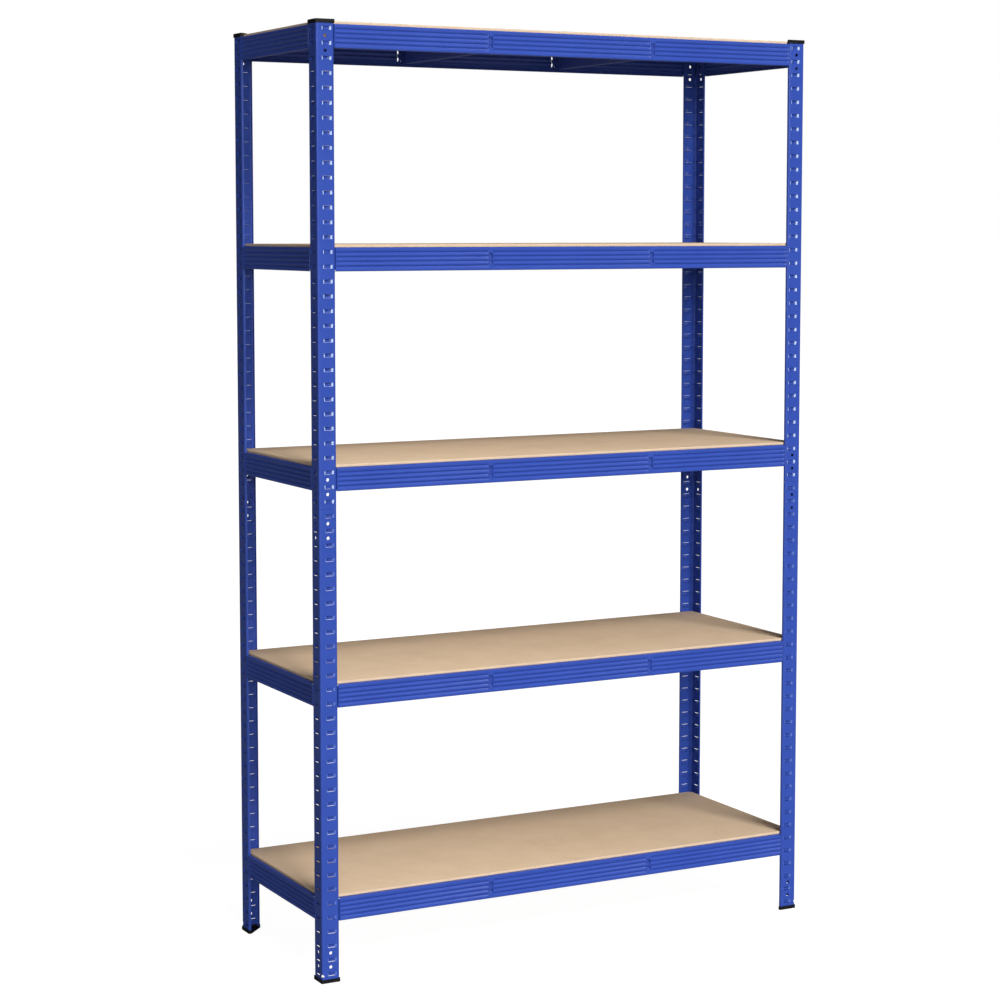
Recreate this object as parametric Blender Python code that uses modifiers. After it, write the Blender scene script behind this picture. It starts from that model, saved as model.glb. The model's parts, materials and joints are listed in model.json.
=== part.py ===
"""Boltless steel shelving, in metres, +Z up, origin on the floor at the middle of the footprint.

Four lipped angle posts, each of two halves joined by a splice, carry five tiers. A tier is four
channel beams whose end hooks drop over the straps pressed into the posts, two crossbars hung in
lances of the long beams, and one loose board. Plastic caps and feet close the post ends.
"""

import math

import bmesh
import bpy
from mathutils import Matrix, Vector

# Overall size and the hole pattern of the posts
WIDTH = 1.200
DEPTH = 0.445
SLOT_PITCH = 0.0302
SLOTS_PER_HALF = 33
TIER_COUNT = 5
TIER_SLOTS = 15

# Post section
FLANGE = 0.040
POST_SHEET = 0.0012
CORNER_BEND = 0.0030
EDGE_BEND = 0.0030

# Straps pressed inward across windows in the flanges
SLOT_CENTRE = 0.0230
WINDOW_LENGTH = 0.0200
WINDOW_HEIGHT = 0.0078
STRAP_HEIGHT = 0.0064
STRAP_OFFSET = 0.0042
STRAP_LEG = 0.0038

# Round holes in the flanges and holes through the corner bend
HOLE_CENTRE = 0.0200
HOLE_DIAMETER = 0.0070
HOLES_PER_END = 2
CREASE_DIAMETER = 0.0080
CREASE_FROM_END = 0.0120
HOLE_SIDES = 8

# Clearances
FIT = 0.0003
BOARD_CLEARANCE = 0.0006
BOARD_BELOW_END = 0.0002

# Beams
BEAM_HEIGHT = 0.0490
BEAM_SHEET = 0.0010
LEDGE = 0.0150
BOTTOM_FLANGE = 0.0100
BEAM_GAP = 0.0035
HOOK_WIDTH = 0.0120
HOOK_SHEET = 0.0010
TAB_START = 0.0090
TAB_TOP = 0.0015
TAB_MARGIN = 0.0067
JOGGLE = 0.0043
OVERLAP = 0.0060

# Splice
SPLICE_SHEET = 0.0012
SPLICE_LEG = 0.0350
SPLICE_MARGIN = 0.0199

# Crossbars and the lances that hold them
CROSSBAR_SPACING = 0.400
CROSSBAR_RAISE = 0.0060
CROSSBAR_TOP_FLANGE = 0.0160
CROSSBAR_BOTTOM_FLANGE = 0.0100
CROSSBAR_SHEET = 0.0010
LANCE_WIDTH = 0.0120
LANCE_HEIGHT = 0.0250
LANCE_STRAP = 0.0050
LANCE_OFFSET = 0.0029
LANCE_LEG = 0.0040
TONGUE_HEIGHT = 0.0090
TAB_FROM_FLANGE = 0.0020

# Boards
BOARD_THICKNESS = 0.0055
BOARD_CORNER = 0.0060

# Plastic caps and feet, which are one and the same part
CAP_PLATE = 0.0031
CAP_BAND = 0.0080
CAP_WALL = 0.0009
CAP_INNER_LEG = 0.0360
CAP_INNER_BEND = 0.0060

# How the meshes are made
THINNER = 0.0001
WELD = 0.000001
SMOOTH_BELOW = math.radians(30)
EMPTY_SIZE = 0.05

# Places worked out from the sizes above
HALF_LENGTH = SLOTS_PER_HALF * SLOT_PITCH
POST_BASE = CAP_PLATE + FIT
SLOT_COUNT = 2 * SLOTS_PER_HALF
LAYER = POST_SHEET + STRAP_OFFSET
TAB_PLANE = LAYER + FIT + BEAM_SHEET / 2
SPLICE_PLANE = LAYER + FIT + SPLICE_SHEET / 2
HOOK_PLANE = LAYER / 2
HOOK_BELOW_TOP = SLOT_PITCH / 2 - FIT - BOARD_THICKNESS - BOARD_BELOW_END
HOOK_LEVEL = STRAP_HEIGHT / 2 + FIT + HOOK_SHEET / 2
HOOK_REACH = STRAP_HEIGHT / 2
WEB_START = FLANGE + BEAM_GAP
BOARD_INSET = LAYER + FIT + SPLICE_SHEET + BOARD_CLEARANCE
CROSSBAR_HEIGHT = BEAM_HEIGHT - CROSSBAR_RAISE
LANCE_CENTRE = -BEAM_HEIGHT / 2
LANCE_PLANE = BEAM_SHEET / 2 + LANCE_OFFSET
TONGUE_PLANE = (BEAM_SHEET + LANCE_OFFSET) / 2
TONGUE_SIDE_GAP = 2 * FIT

CORNERS = {
    "front_left": (-1, -1, 0),
    "front_right": (1, -1, 90),
    "rear_right": (1, 1, 180),
    "rear_left": (-1, 1, 270),
}
SIDES = {
    "front": (0, -1, 0),
    "right": (1, 0, 90),
    "rear": (0, 1, 180),
    "left": (-1, 0, 270),
}


def slot_level(index):
    """Height of a slot above the bottom of the post; slot 0 is the lowest."""
    return (index + 0.5) * SLOT_PITCH


def upper_slot(tier):
    """The slot that takes the upper hooks of a tier, counted from 1 at the bottom."""
    return SLOT_COUNT - 1 - (TIER_COUNT - tier) * TIER_SLOTS


def used_slots():
    """Every slot with a hook or a splice tongue in it."""
    tiers = [upper_slot(tier) - step for tier in range(1, TIER_COUNT + 1) for step in (0, 1)]
    return tiers + [SLOTS_PER_HALF - 1, SLOTS_PER_HALF]


def through(sheet):
    """Length of a drill that passes well through a sheet from its middle."""
    return 4 * sheet


def clear_scene():
    for obj in list(bpy.data.objects):
        bpy.data.objects.remove(obj, do_unlink=True)


def new_collection(name):
    collection = bpy.data.collections.new(name)
    bpy.context.scene.collection.children.link(collection)
    return collection


def material(name, colour, roughness, metallic=0.0):
    made = bpy.data.materials.new(name)
    made.use_nodes = True
    shader = made.node_tree.nodes["Principled BSDF"]
    shader.inputs["Base Color"].default_value = (*colour, 1.0)
    shader.inputs["Roughness"].default_value = roughness
    shader.inputs["Metallic"].default_value = metallic
    return made


def object_from(name, work, collection):
    """A new object that holds the bmesh, in the given collection."""
    mesh = bpy.data.meshes.new(name)
    bmesh.ops.recalc_face_normals(work, faces=work.faces[:])
    work.to_mesh(mesh)
    work.free()
    obj = bpy.data.objects.new(name, mesh)
    collection.objects.link(obj)
    return obj


def bent_sheets(name, strips, thickness, collection):
    """Sheet metal: each strip is the middle line of its bends, and the vector that it is drawn along."""
    work = bmesh.new()
    for path, along in strips:
        line = [work.verts.new(point) for point in path]
        edges = [work.edges.new(pair) for pair in zip(line, line[1:])]
        drawn = bmesh.ops.extrude_edge_only(work, edges=edges)["geom"]
        moved = [item for item in drawn if isinstance(item, bmesh.types.BMVert)]
        bmesh.ops.translate(work, verts=moved, vec=along)
    obj = object_from(name, work, collection)
    solid = obj.modifiers.new("thickness", "SOLIDIFY")
    solid.thickness = thickness
    solid.offset = 0.0
    solid.use_even_offset = True
    return obj


def blocks(name, boxes, collection):
    """Plain boxes, each given by two opposite corners."""
    work = bmesh.new()
    for low, high in boxes:
        low, high = Vector(low), Vector(high)
        place = Matrix.Translation((low + high) / 2) @ Matrix.Diagonal((*(high - low), 1))
        bmesh.ops.create_cube(work, size=1, matrix=place)
    return object_from(name, work, collection)


def drills(name, holes, collection):
    """Cylinders, each given by its centre, its direction, its diameter and its length."""
    work = bmesh.new()
    for centre, direction, diameter, length in holes:
        turn = Vector(direction).to_track_quat("Z", "Y").to_matrix().to_4x4()
        bmesh.ops.create_cone(
            work,
            segments=HOLE_SIDES,
            radius1=diameter / 2,
            radius2=diameter / 2,
            depth=length,
            cap_ends=True,
            matrix=Matrix.Translation(centre) @ turn,
        )
    return object_from(name, work, collection)


def flat_plate(name, outline, low, high, collection):
    """A flat outline in X and Y with a thickness from low to high, as a closed mesh."""
    curve = bpy.data.curves.new(name, "CURVE")
    curve.dimensions = "2D"
    curve.fill_mode = "BOTH"
    curve.extrude = (high - low) / 2
    spline = curve.splines.new("POLY")
    spline.points.add(len(outline) - 1)
    for point, (x, y) in zip(spline.points, outline):
        point.co = (x, y, 0, 1)
    spline.use_cyclic_u = True
    drawn = bpy.data.objects.new(name, curve)
    collection.objects.link(drawn)
    graph = bpy.context.evaluated_depsgraph_get()
    work = bmesh.new()
    work.from_mesh(bpy.data.meshes.new_from_object(drawn.evaluated_get(graph)))
    bpy.data.objects.remove(drawn, do_unlink=True)
    bmesh.ops.remove_doubles(work, verts=work.verts[:], dist=WELD)
    bmesh.ops.translate(work, verts=work.verts[:], vec=(0, 0, (low + high) / 2))
    return object_from(name, work, collection)


def finished_mesh(base, steps, finish):
    """The mesh of a base after its Boolean steps; the base and the tools are then removed."""
    for operation, tool in steps:
        tool.hide_render = True
        tool.display_type = "WIRE"
        step = base.modifiers.new(tool.name, "BOOLEAN")
        step.operation = operation
        step.object = tool
    graph = bpy.context.evaluated_depsgraph_get()
    mesh = bpy.data.meshes.new_from_object(base.evaluated_get(graph))
    mesh.name = base.name
    mesh.materials.clear()
    mesh.materials.append(finish)
    mesh.shade_smooth()
    mesh.set_sharp_from_angle(angle=SMOOTH_BELOW)
    for used in [base] + [tool for _, tool in steps]:
        bpy.data.objects.remove(used, do_unlink=True)
    return mesh


def swap(points):
    """The same points with X and Y exchanged, for the other flange of an angle."""
    return [(point[1], point[0], *point[2:]) for point in points]


def post_mesh(name, low, high, slots, tools, finish):
    """Half a post between two heights: a lipped angle with windows, straps and holes."""
    middle = POST_SHEET / 2
    far = FLANGE - middle
    bend = EDGE_BEND - middle
    corner = CORNER_BEND
    edge = [(far, LAYER, low), (far, middle + bend, low), (far - bend, middle, low)]
    fold = [(corner, middle, low), (middle, corner, low)]
    path = edge + fold + swap(edge)[::-1]
    body = bent_sheets(name, [(path, (0, 0, high - low))], POST_SHEET, tools)
    windows = []
    straps = []
    for index in slots:
        level = slot_level(index)
        start = SLOT_CENTRE - WINDOW_LENGTH / 2
        end = SLOT_CENTRE + WINDOW_LENGTH / 2
        cut = [
            (start, -POST_SHEET, level - WINDOW_HEIGHT / 2),
            (end, 2 * POST_SHEET, level + WINDOW_HEIGHT / 2),
        ]
        bottom = level - STRAP_HEIGHT / 2
        strap = [
            (start - POST_SHEET, middle, bottom),
            (start - POST_SHEET + STRAP_LEG, middle + STRAP_OFFSET, bottom),
            (end + POST_SHEET - STRAP_LEG, middle + STRAP_OFFSET, bottom),
            (end + POST_SHEET, middle, bottom),
        ]
        windows += [cut, swap(cut)]
        straps += [(strap, (0, 0, STRAP_HEIGHT)), (swap(strap), (0, 0, STRAP_HEIGHT))]
    holes = []
    for number in range(1, HOLES_PER_END + 1):
        for level in (low + number * SLOT_PITCH, high - number * SLOT_PITCH):
            place = (HOLE_CENTRE, middle, level)
            holes.append((place, (0, 1, 0), HOLE_DIAMETER, through(POST_SHEET)))
            holes.append((swap([place])[0], (1, 0, 0), HOLE_DIAMETER, through(POST_SHEET)))
    for level in (low + CREASE_FROM_END, high - CREASE_FROM_END):
        holes.append(((middle, middle, level), (1, 1, 0), CREASE_DIAMETER, through(CORNER_BEND)))
    steps = [
        ("DIFFERENCE", blocks(name + "_windows", windows, tools)),
        ("DIFFERENCE", drills(name + "_holes", holes, tools)),
        ("UNION", bent_sheets(name + "_straps", straps, POST_SHEET - THINNER, tools)),
    ]
    return finished_mesh(body, steps, finish)


def hook_path(x, plane, level, turn):
    """Middle line of a hook: out from its plate above a strap and down in front of it.

    A turn of -1 gives the upright hook of a splice, which passes under its strap instead.
    """
    return [
        (x, plane, level + turn * HOOK_LEVEL),
        (x, HOOK_PLANE, level + turn * HOOK_LEVEL),
        (x, HOOK_PLANE, level - turn * HOOK_REACH),
    ]


def splice_mesh(tools, finish):
    """An angle plate across the joint of two halves, with two hooks and two holes on each leg."""
    reach = SLOT_PITCH / 2 + SPLICE_MARGIN
    bend = SPLICE_PLANE + CORNER_BEND
    leg = [(SPLICE_LEG, SPLICE_PLANE, -reach), (bend, SPLICE_PLANE, -reach)]
    body = bent_sheets(
        "splice", [(leg + swap(leg)[::-1], (0, 0, 2 * reach))], SPLICE_SHEET, tools
    )
    hooks = []
    holes = []
    for turn in (1, -1):
        start = SLOT_CENTRE - HOOK_WIDTH / 2
        path = hook_path(start, SPLICE_PLANE, -turn * SLOT_PITCH / 2, turn)
        hooks += [(path, (HOOK_WIDTH, 0, 0)), (swap(path), (0, HOOK_WIDTH, 0))]
        centre = (HOLE_CENTRE, SPLICE_PLANE, turn * SLOT_PITCH)
        holes.append((centre, (0, 1, 0), HOLE_DIAMETER, through(SPLICE_SHEET)))
        holes.append((swap([centre])[0], (1, 0, 0), HOLE_DIAMETER, through(SPLICE_SHEET)))
    steps = [
        ("UNION", bent_sheets("splice_hooks", hooks, HOOK_SHEET, tools)),
        ("DIFFERENCE", drills("splice_holes", holes, tools)),
    ]
    return finished_mesh(body, steps, finish)


def mirrored(points):
    """The same points on the other end of a beam."""
    return [(-point[0], *point[1:]) for point in points]


def beam_mesh(name, span, lances, tools, finish):
    """A channel beam for a span between post faces; lances are the X of its crossbar seats."""
    web_end = span / 2 - WEB_START
    middle = BEAM_SHEET / 2
    profile = [
        (-web_end, LEDGE, -middle),
        (-web_end, middle, -middle),
        (-web_end, middle, middle - BEAM_HEIGHT),
        (-web_end, BOTTOM_FLANGE, middle - BEAM_HEIGHT),
    ]
    body = bent_sheets(name, [(profile, (2 * web_end, 0, 0))], BEAM_SHEET, tools)
    tab_bottom = -HOOK_BELOW_TOP - SLOT_PITCH - TAB_MARGIN
    tab = [
        (TAB_START - span / 2, TAB_PLANE, tab_bottom),
        (FLANGE + BEAM_SHEET - span / 2, TAB_PLANE, tab_bottom),
        (FLANGE + BEAM_SHEET + JOGGLE - span / 2, middle, tab_bottom),
        (OVERLAP - web_end, middle, tab_bottom),
    ]
    rise = (0, 0, -TAB_TOP - tab_bottom)
    tabs = [(tab, rise), (mirrored(tab), rise)]
    hooks = []
    holes = []
    for end in (-1, 1):
        for level in (-HOOK_BELOW_TOP, -HOOK_BELOW_TOP - SLOT_PITCH):
            start = end * (span / 2 - SLOT_CENTRE) - HOOK_WIDTH / 2
            hooks.append((hook_path(start, TAB_PLANE, level, 1), (HOOK_WIDTH, 0, 0)))
        place = (end * (span / 2 - HOLE_CENTRE), TAB_PLANE, -HOOK_BELOW_TOP - SLOT_PITCH / 2)
        holes.append((place, (0, 1, 0), HOLE_DIAMETER, through(BEAM_SHEET)))
    steps = [
        ("UNION", bent_sheets(name + "_tabs", tabs, BEAM_SHEET - THINNER, tools)),
        ("UNION", bent_sheets(name + "_hooks", hooks, HOOK_SHEET - THINNER, tools)),
        ("DIFFERENCE", drills(name + "_holes", holes, tools)),
    ]
    if lances:
        steps += lance_steps(name, lances, tools)
    return finished_mesh(body, steps, finish)


def lance_steps(name, lances, tools):
    """Windows with an upright strap pressed inward across each."""
    windows = []
    straps = []
    foot = LANCE_HEIGHT / 2 + BEAM_SHEET
    for x in lances:
        windows.append(
            (
                (x - LANCE_WIDTH / 2, -BEAM_SHEET, LANCE_CENTRE - LANCE_HEIGHT / 2),
                (x + LANCE_WIDTH / 2, 2 * BEAM_SHEET, LANCE_CENTRE + LANCE_HEIGHT / 2),
            )
        )
        side = x - LANCE_STRAP / 2
        strap = [
            (side, BEAM_SHEET / 2, LANCE_CENTRE + foot),
            (side, LANCE_PLANE, LANCE_CENTRE + foot - LANCE_LEG),
            (side, LANCE_PLANE, LANCE_CENTRE - foot + LANCE_LEG),
            (side, BEAM_SHEET / 2, LANCE_CENTRE - foot),
        ]
        straps.append((strap, (LANCE_STRAP, 0, 0)))
    return [
        ("DIFFERENCE", blocks(name + "_windows", windows, tools)),
        ("UNION", bent_sheets(name + "_straps", straps, BEAM_SHEET - THINNER, tools)),
    ]


def crossbar_mesh(tools, finish):
    """A channel from long beam to long beam; its end tongues slide sideways behind the lances."""
    middle = CROSSBAR_SHEET / 2
    web = LANCE_WIDTH / 2 + FIT + middle
    body_end = DEPTH / 2 - LEDGE - TONGUE_SIDE_GAP
    profile = [
        (web + CROSSBAR_TOP_FLANGE, -body_end, -middle),
        (web, -body_end, -middle),
        (web, -body_end, middle - CROSSBAR_HEIGHT),
        (web + CROSSBAR_BOTTOM_FLANGE, -body_end, middle - CROSSBAR_HEIGHT),
    ]
    body = bent_sheets("crossbar", [(profile, (0, 2 * body_end, 0))], CROSSBAR_SHEET, tools)
    low = -CROSSBAR_HEIGHT + TAB_FROM_FLANGE
    rise = (0, 0, CROSSBAR_HEIGHT - CROSSBAR_SHEET - 2 * TAB_FROM_FLANGE)
    plate = DEPTH / 2 - TONGUE_PLANE
    near_strap = LANCE_STRAP / 2 + TONGUE_SIDE_GAP
    tabs = []
    tongues = []
    for end in (-1, 1):
        corner = end * plate
        inside = end * (body_end - OVERLAP)
        tabs.append(([(near_strap, corner, low), (web, corner, low), (web, inside, low)], rise))
        bottom = LANCE_CENTRE - TONGUE_HEIGHT / 2
        tongue = [(-LANCE_WIDTH / 2, corner, bottom), (web - CROSSBAR_SHEET, corner, bottom)]
        tongues.append((tongue, (0, 0, TONGUE_HEIGHT)))
    steps = [
        ("UNION", bent_sheets("crossbar_tabs", tabs, CROSSBAR_SHEET - THINNER, tools)),
        ("UNION", bent_sheets("crossbar_tongues", tongues, CROSSBAR_SHEET - 2 * THINNER, tools)),
    ]
    return finished_mesh(body, steps, finish)


def cap_mesh(tools, finish):
    """The end closure, origin at the post's end: a plate over the angle with a band round it."""
    out = CAP_WALL + FIT
    far = FLANGE + out
    lip = LAYER + FIT
    middle = FIT + CAP_WALL / 2
    outline = [(-out, -out), (far, -out), (far, lip), (lip, far), (-out, far)]
    plate = flat_plate("cap", outline, FIT, FIT + CAP_PLATE, tools)
    low = FIT + CAP_PLATE - CAP_BAND
    rise = (0, 0, CAP_BAND - CAP_PLATE / 2)
    band = [(FLANGE + middle, lip - THINNER, low), (FLANGE + middle, -middle, low)]
    inner = POST_SHEET + FIT + CAP_WALL / 2
    skirt = [(CAP_INNER_LEG, inner, low), (CAP_INNER_BEND, inner, low)]
    outer_band = (band + [(-middle, -middle, low)] + swap(band)[::-1], rise)
    inner_skirt = (skirt + swap(skirt)[::-1], rise)
    wall = CAP_WALL - THINNER
    steps = [("UNION", bent_sheets("cap_bands", [outer_band, inner_skirt], wall, tools))]
    return finished_mesh(plate, steps, finish)


def board_mesh(tools, finish):
    """A flat board with its corners cut off to clear the bends of the posts."""
    x = WIDTH / 2 - BOARD_INSET
    y = DEPTH / 2 - BOARD_INSET
    cut = BOARD_CORNER
    outline = [
        (cut - x, -y), (x - cut, -y), (x, cut - y), (x, y - cut),
        (x - cut, y), (cut - x, y), (-x, y - cut), (-x, cut - y),
    ]
    board = flat_plate("board", outline, FIT, FIT + BOARD_THICKNESS, tools)
    return finished_mesh(board, [], finish)


def frame_empty(name, location, turn, collection):
    """An empty that carries the pieces of one corner or one side."""
    empty = bpy.data.objects.new(name, None)
    empty.empty_display_size = EMPTY_SIZE
    empty.location = location
    empty.rotation_euler = (0, 0, math.radians(turn))
    collection.objects.link(empty)
    return empty


def place(name, mesh, parent, collection, height=0.0, shift=0.0):
    obj = bpy.data.objects.new(name, mesh)
    obj.parent = parent
    obj.location = (shift, 0, height)
    collection.objects.link(obj)
    return obj


def build_corners(collection, tools):
    half_gap = FIT / 2
    steel = material("post_steel", (0.045, 0.085, 0.42), 0.42)
    splice_steel = material("splice_steel", (0.035, 0.07, 0.36), 0.45)
    plastic = material("cap_plastic", (0.008, 0.008, 0.009), 0.5)
    lower = [index for index in used_slots() if index < SLOTS_PER_HALF]
    upper = [index for index in used_slots() if index >= SLOTS_PER_HALF]
    joint = HALF_LENGTH
    meshes = {
        "lower": post_mesh("post_lower", 0, joint - half_gap, lower, tools, steel),
        "upper": post_mesh("post_upper", joint + half_gap, 2 * joint, upper, tools, steel),
    }
    splice = splice_mesh(tools, splice_steel)
    cap = cap_mesh(tools, plastic)
    for corner, (along_x, along_y, turn) in CORNERS.items():
        location = (along_x * WIDTH / 2, along_y * DEPTH / 2, POST_BASE)
        carrier = frame_empty("corner_" + corner, location, turn, collection)
        for half, mesh in meshes.items():
            place("post_" + half + "_" + corner, mesh, carrier, collection)
        place("splice_" + corner, splice, carrier, collection, height=joint)
        place("cap_" + corner, cap, carrier, collection, height=2 * joint)
        foot = place("foot_" + corner, cap, carrier, collection)
        # Half a turn about the diagonal of the angle: X and Y change places and Z turns over.
        foot.rotation_euler = (math.pi, 0, math.radians(90))


def build_tiers(collection, tools):
    beam_steel = material("beam_steel", (0.045, 0.085, 0.42), 0.42)
    crossbar_steel = material("crossbar_steel", (0.04, 0.075, 0.38), 0.45)
    fibreboard = material("board_fibreboard", (0.58, 0.42, 0.27), 0.8)
    seats = (-CROSSBAR_SPACING / 2, CROSSBAR_SPACING / 2)
    # A long beam at the rear is turned half round, so its seats lie on the same two lines.
    long_beam = beam_mesh("beam_long", WIDTH, seats, tools, beam_steel)
    side_beam = beam_mesh("beam_side", DEPTH, (), tools, beam_steel)
    crossbar = crossbar_mesh(tools, crossbar_steel)
    board = board_mesh(tools, fibreboard)
    for tier in range(1, TIER_COUNT + 1):
        top = POST_BASE + slot_level(upper_slot(tier)) + HOOK_BELOW_TOP
        carrier = frame_empty(f"tier_{tier}", (0, 0, top), 0, collection)
        for side, (along_x, along_y, turn) in SIDES.items():
            mesh = side_beam if along_x else long_beam
            beam = place(f"beam_{side}_{tier}", mesh, carrier, collection)
            beam.location = (along_x * WIDTH / 2, along_y * DEPTH / 2, 0)
            beam.rotation_euler = (0, 0, math.radians(turn))
        for side, seat in zip(("left", "right"), seats):
            place(f"crossbar_{side}_{tier}", crossbar, carrier, collection, shift=seat)
        place(f"board_{tier}", board, carrier, collection)


def main():
    clear_scene()
    parts = new_collection("boltless_shelving")
    tools = new_collection("cutters")
    build_corners(parts, tools)
    build_tiers(parts, tools)
    bpy.data.collections.remove(tools)


main()
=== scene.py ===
# %% [markdown]
# # A boltless shelving rack in powder-coated steel
# The rack is sheet metal: slotted angle posts, ribbed channel beams and thin crossbars, with loose
# fibreboard shelves and black plastic caps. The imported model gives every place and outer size. This
# lesson builds the fine surface of each piece over it: the pressed straps of the posts, the rolled
# ribs of the beams, soft bends, eased board edges, and the three finishes.

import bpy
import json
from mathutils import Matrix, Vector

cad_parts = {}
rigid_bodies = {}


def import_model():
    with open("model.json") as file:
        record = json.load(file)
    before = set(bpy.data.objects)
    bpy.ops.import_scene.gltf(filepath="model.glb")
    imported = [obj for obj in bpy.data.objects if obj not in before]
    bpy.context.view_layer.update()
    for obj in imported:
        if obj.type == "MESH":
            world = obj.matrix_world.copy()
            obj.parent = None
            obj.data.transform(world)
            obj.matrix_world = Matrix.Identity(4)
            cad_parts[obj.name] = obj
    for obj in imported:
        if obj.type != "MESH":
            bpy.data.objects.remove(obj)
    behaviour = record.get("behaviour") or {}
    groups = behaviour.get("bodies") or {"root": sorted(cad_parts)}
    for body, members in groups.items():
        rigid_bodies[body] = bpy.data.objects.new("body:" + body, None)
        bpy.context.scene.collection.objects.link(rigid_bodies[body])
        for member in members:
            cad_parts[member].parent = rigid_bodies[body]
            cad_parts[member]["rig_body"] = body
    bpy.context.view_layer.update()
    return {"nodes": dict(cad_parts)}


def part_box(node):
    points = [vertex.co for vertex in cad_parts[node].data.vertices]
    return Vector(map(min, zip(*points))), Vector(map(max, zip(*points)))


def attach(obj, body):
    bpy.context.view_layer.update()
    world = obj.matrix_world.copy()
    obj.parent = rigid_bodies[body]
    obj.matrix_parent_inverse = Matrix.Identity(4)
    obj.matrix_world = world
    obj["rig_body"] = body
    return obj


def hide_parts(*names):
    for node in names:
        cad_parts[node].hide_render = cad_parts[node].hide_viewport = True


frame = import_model()

# %% Blender's modules
import json
import math

import bmesh
import bpy
from mathutils import Matrix, Vector

MM = 0.001

# %% [markdown]
# ## The places that everything shares
# Pieces repeat at four corners and at five heights, so each shape is made once in a small frame of
# its own and then set down many times. A corner frame has its origin on the outer edge of a post,
# with one flange along X and the other along Y. A side frame has its origin on the outer face of a
# beam, with X along the beam and Y towards the middle of the rack.

# %% Corner frames and side frames
post_low, post_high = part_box("post_lower_front_left")
HALF_WIDTH = -post_low.x
HALF_DEPTH = -post_low.y
FLANGE = post_high.x - post_low.x
HALF_POST = post_high.z - post_low.z
CORNERS = {
    "front_left": (-1, -1, 0),
    "front_right": (1, -1, 90),
    "rear_right": (1, 1, 180),
    "rear_left": (-1, 1, 270),
}
SIDES = {"front": (0, -1, 0), "right": (1, 0, 90), "rear": (0, 1, 180), "left": (-1, 0, 270)}
TIERS = (1, 2, 3, 4, 5)
print("flange", round(FLANGE / MM, 2), "mm, half post", round(HALF_POST / MM, 2), "mm")


# %% Set a frame down at a place
def frame_at(across, along, turn, height):
    """The matrix of a corner or side frame: its place in half widths and half depths, and its turn."""
    place = Matrix.Translation((across * HALF_WIDTH, along * HALF_DEPTH, height))
    return place @ Matrix.Rotation(math.radians(turn), 4, "Z")


# %% [markdown]
# ## Shader groups for the three finishes
# A finish that several pieces share is a node group. It holds only textures and gives out colours,
# roughness and a height, and each material keeps its own Principled BSDF and Bump node. The
# textures read object coordinates, so the grain has its real size on every piece.

# %% A helper for node groups
def texture_group(name, values, colours, outputs):
    """A shader group with number and colour inputs; outputs are names with their socket types."""
    group = bpy.data.node_groups.new(name, "ShaderNodeTree")
    for label, default in values.items():
        socket = group.interface.new_socket(label, in_out="INPUT", socket_type="NodeSocketFloat")
        socket.default_value = default
    for label, default in colours.items():
        socket = group.interface.new_socket(label, in_out="INPUT", socket_type="NodeSocketColor")
        socket.default_value = (*default, 1.0)
    for label, kind in outputs.items():
        group.interface.new_socket(label, in_out="OUTPUT", socket_type="NodeSocket" + kind)
    return group, group.nodes.new("NodeGroupInput"), group.nodes.new("NodeGroupOutput")


# %% Helpers for the nodes inside a group
def noise(tree, coordinates, scale, detail=3.0, rough=0.55):
    """A noise texture; its scale is a number or the socket that gives it."""
    node = tree.nodes.new("ShaderNodeTexNoise")
    node.inputs["Detail"].default_value = detail
    node.inputs["Roughness"].default_value = rough
    tree.links.new(coordinates, node.inputs["Vector"])
    if isinstance(scale, (int, float)):
        node.inputs["Scale"].default_value = scale
    else:
        tree.links.new(scale, node.inputs["Scale"])
    return node.outputs["Fac"]


def spread(tree, value, low, high, to_low=0.0, to_high=1.0):
    """Stretches a value from one range to another, and holds it inside the second."""
    node = tree.nodes.new("ShaderNodeMapRange")
    node.inputs["From Min"].default_value = low
    node.inputs["From Max"].default_value = high
    node.inputs["To Min"].default_value = to_low
    node.inputs["To Max"].default_value = to_high
    tree.links.new(value, node.inputs["Value"])
    return node.outputs["Result"]


def blend_colour(tree, share, first, second):
    """Mixes two colour sockets by a share that is a socket."""
    node = tree.nodes.new("ShaderNodeMix")
    node.data_type = "RGBA"
    tree.links.new(share, node.inputs["Factor"])
    tree.links.new(first, node.inputs["A"])
    tree.links.new(second, node.inputs["B"])
    return node.outputs["Result"]


def maths(tree, operation, first, second):
    """A math node on sockets or numbers."""
    node = tree.nodes.new("ShaderNodeMath")
    node.operation = operation
    for socket, value in zip(node.inputs, (first, second)):
        if isinstance(value, (int, float)):
            socket.default_value = value
        else:
            tree.links.new(value, socket)
    return node.outputs["Value"]


# %% [markdown]
# ### Powder coat
# The steel is sprayed with dry powder that melts into a satin film. The film is never quite flat:
# it has the fine dimples called orange peel, about a millimetre across, and its shade drifts a
# little where it flowed thicker. Two noises are enough: one small, for the height and the gloss,
# and one broad, for the colour.

# %% The powder coat group
def powder_coat_group():
    group, given, result = texture_group(
        "powder_coat",
        {"Peel Scale": 620.0, "Drift Scale": 7.0, "Roughness": 0.4},
        {"Colour": (0.05, 0.09, 0.4), "Thin Colour": (0.06, 0.11, 0.45)},
        {"Colour": "Color", "Roughness": "Float", "Height": "Float"},
    )
    place = group.nodes.new("ShaderNodeTexCoord").outputs["Object"]
    peel = noise(group, place, given.outputs["Peel Scale"], detail=2.0)
    grit = noise(group, place, 2600.0, detail=1.0)
    drift = noise(group, place, given.outputs["Drift Scale"], detail=4.0)
    share = spread(group, drift, 0.35, 0.65)
    colour = blend_colour(group, share, given.outputs["Colour"], given.outputs["Thin Colour"])
    uneven = spread(group, peel, 0.3, 0.7, -0.05, 0.05)
    rough = maths(group, "ADD", given.outputs["Roughness"], uneven)
    height = maths(group, "ADD", peel, maths(group, "MULTIPLY", grit, 0.15))
    group.links.new(colour, result.inputs["Colour"])
    group.links.new(rough, result.inputs["Roughness"])
    group.links.new(height, result.inputs["Height"])
    return group


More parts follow.
